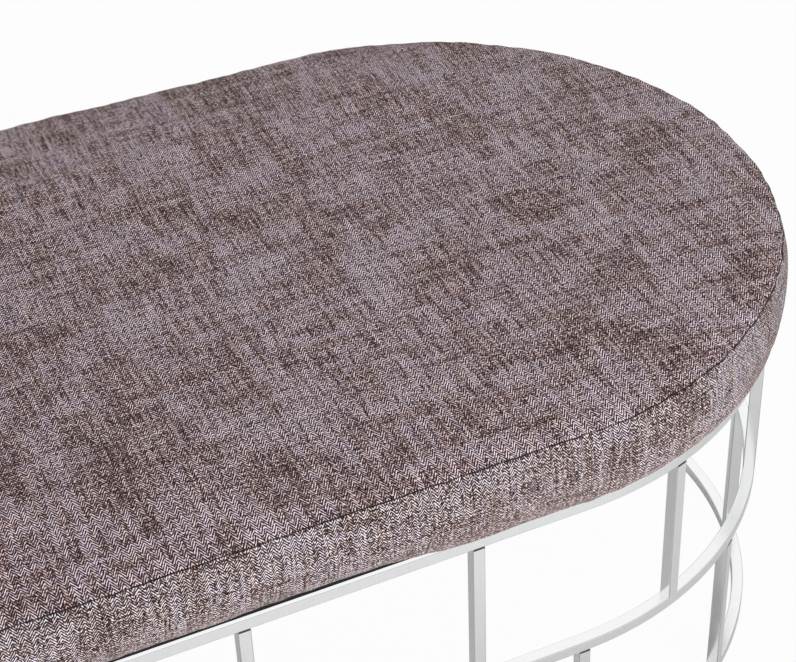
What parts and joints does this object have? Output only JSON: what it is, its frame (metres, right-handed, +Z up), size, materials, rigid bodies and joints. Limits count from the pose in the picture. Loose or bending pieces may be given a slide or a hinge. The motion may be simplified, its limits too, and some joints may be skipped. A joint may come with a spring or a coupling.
{
  "type": "upholstered oval bench",
  "caption": "Oval bench with a boxed fabric cushion on an open cage of square chrome tube: three stadium rings joined by staggered posts.",
  "frame": {"origin": "on the floor, under the middle of the bench", "axes": "+X along the bench, +Y across it towards the back, +Z up"},
  "size_m": [1.3408, 0.7008, 0.474],
  "materials": {
    "chrome_tube": "satin chrome plate",
    "upholstery": "mottled herringbone chenille",
    "foam": "open-cell upholstery foam",
    "plywood": "raw plywood",
    "lining": "pale non-woven lining",
    "black_felt": "pressed black felt",
    "black_rubber": "matt moulded rubber",
    "zinc_steel": "zinc plated",
    "glide_plastic": "moulded nylon"
  },
  "bodies": {
    "root": {"bottom_ring_left": "chrome_tube", "bottom_ring_right": "chrome_tube", "middle_ring_left": "chrome_tube", "middle_ring_right": "chrome_tube", "top_rail_left": "chrome_tube", "top_rail_right": "chrome_tube", "upper_post_01": "chrome_tube", "upper_post_02": "chrome_tube", "upper_post_03": "chrome_tube", "upper_post_04": "chrome_tube", "upper_post_05": "chrome_tube", "upper_post_06": "chrome_tube", "upper_post_07": "chrome_tube", "upper_post_08": "chrome_tube", "upper_post_09": "chrome_tube", "upper_post_10": "chrome_tube", "upper_post_11": "chrome_tube", "upper_post_12": "chrome_tube", "upper_post_13": "chrome_tube", "upper_post_14": "chrome_tube", "upper_post_15": "chrome_tube", "upper_post_16": "chrome_tube", "lower_post_01": "chrome_tube", "lower_post_02": "chrome_tube", "lower_post_03": "chrome_tube", "lower_post_04": "chrome_tube", "lower_post_05": "chrome_tube", "lower_post_06": "chrome_tube", "lower_post_07": "chrome_tube", "lower_post_08": "chrome_tube", "lower_post_09": "chrome_tube", "lower_post_10": "chrome_tube", "lower_post_11": "chrome_tube", "lower_post_12": "chrome_tube", "lower_post_13": "chrome_tube", "lower_post_14": "chrome_tube", "lower_post_15": "chrome_tube", "lower_post_16": "chrome_tube", "mounting_tab_1": "chrome_tube", "mounting_tab_2": "chrome_tube", "mounting_tab_3": "chrome_tube", "mounting_tab_4": "chrome_tube", "mounting_tab_5": "chrome_tube", "mounting_tab_6": "chrome_tube", "cover_top_panel": "upholstery", "cover_boxing": "upholstery", "foam_core": "foam", "seat_board": "plywood", "dust_cover": "lining", "felt_strip": "black_felt", "seat_spacers": "black_rubber", "seat_screws": "zinc_steel", "floor_glides": "glide_plastic"}
  },
  "joints": []
}
